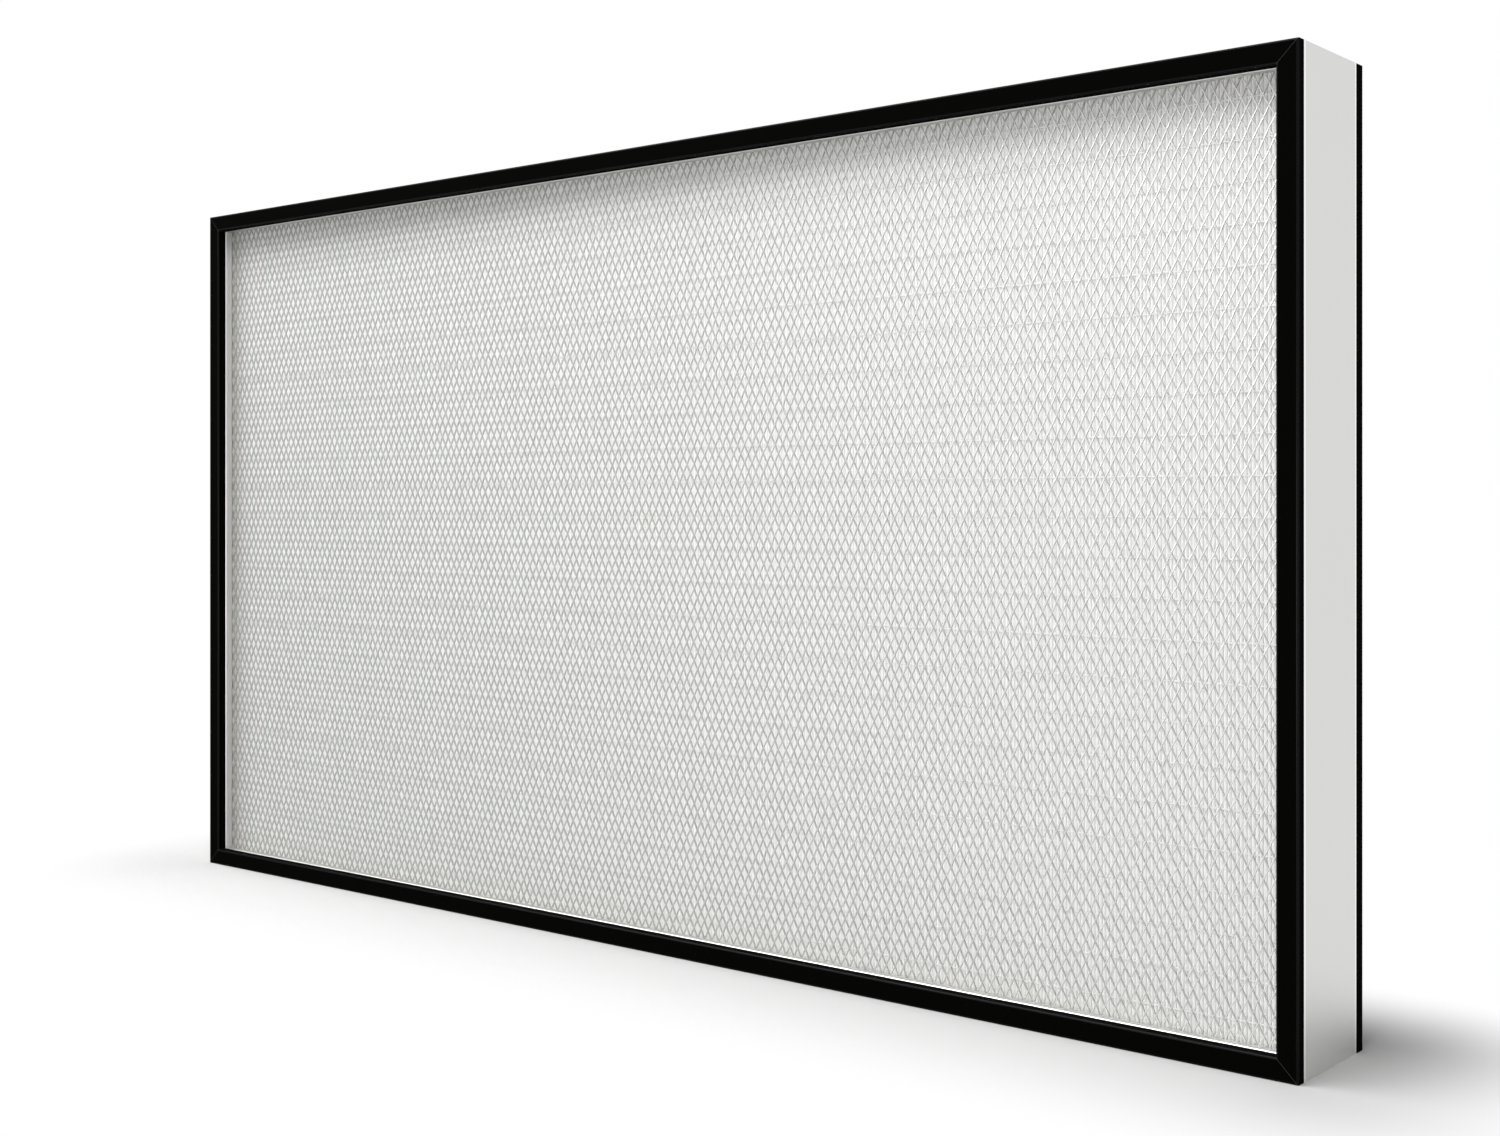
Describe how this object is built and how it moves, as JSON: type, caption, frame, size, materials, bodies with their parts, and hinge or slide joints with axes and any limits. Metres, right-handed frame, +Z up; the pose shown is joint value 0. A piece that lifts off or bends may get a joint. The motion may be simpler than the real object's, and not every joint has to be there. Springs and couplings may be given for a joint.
{
  "type": "hepa filter panel",
  "caption": "Flat rectangular pleated air filter in a shallow aluminium frame, with expanded-metal guards and black foam gaskets on both faces.",
  "frame": {"origin": "middle of the bottom of the whole panel, standing on one long edge", "axes": "+X along the length, +Y from the front face to the rear face, +Z up"},
  "size_m": [1.08, 0.096, 0.61],
  "materials": {
    "frame": "satin natural anodised, fine lines along the extrusion",
    "corner_key": "plain mill finish",
    "gasket": "matt black closed-cell foam",
    "faceguard": "bright galvanised expanded steel",
    "media": "matt white glass-fibre paper",
    "beads": "off-white hot-melt adhesive",
    "potting": "off-white cast polyurethane"
  },
  "bodies": {
    "root": {"frame_top": "frame", "frame_bottom": "frame", "frame_left": "frame", "frame_right": "frame", "front_key_top_left": "corner_key", "front_key_top_right": "corner_key", "front_key_bottom_left": "corner_key", "front_key_bottom_right": "corner_key", "rear_key_top_left": "corner_key", "rear_key_top_right": "corner_key", "rear_key_bottom_left": "corner_key", "rear_key_bottom_right": "corner_key", "front_gasket_top": "gasket", "front_gasket_bottom": "gasket", "front_gasket_left": "gasket", "front_gasket_right": "gasket", "rear_gasket_top": "gasket", "rear_gasket_bottom": "gasket", "rear_gasket_left": "gasket", "rear_gasket_right": "gasket", "front_faceguard": "faceguard", "rear_faceguard": "faceguard", "media_pack": "media", "front_separator_beads": "beads", "rear_separator_beads": "beads", "potting": "potting"}
  },
  "joints": []
}
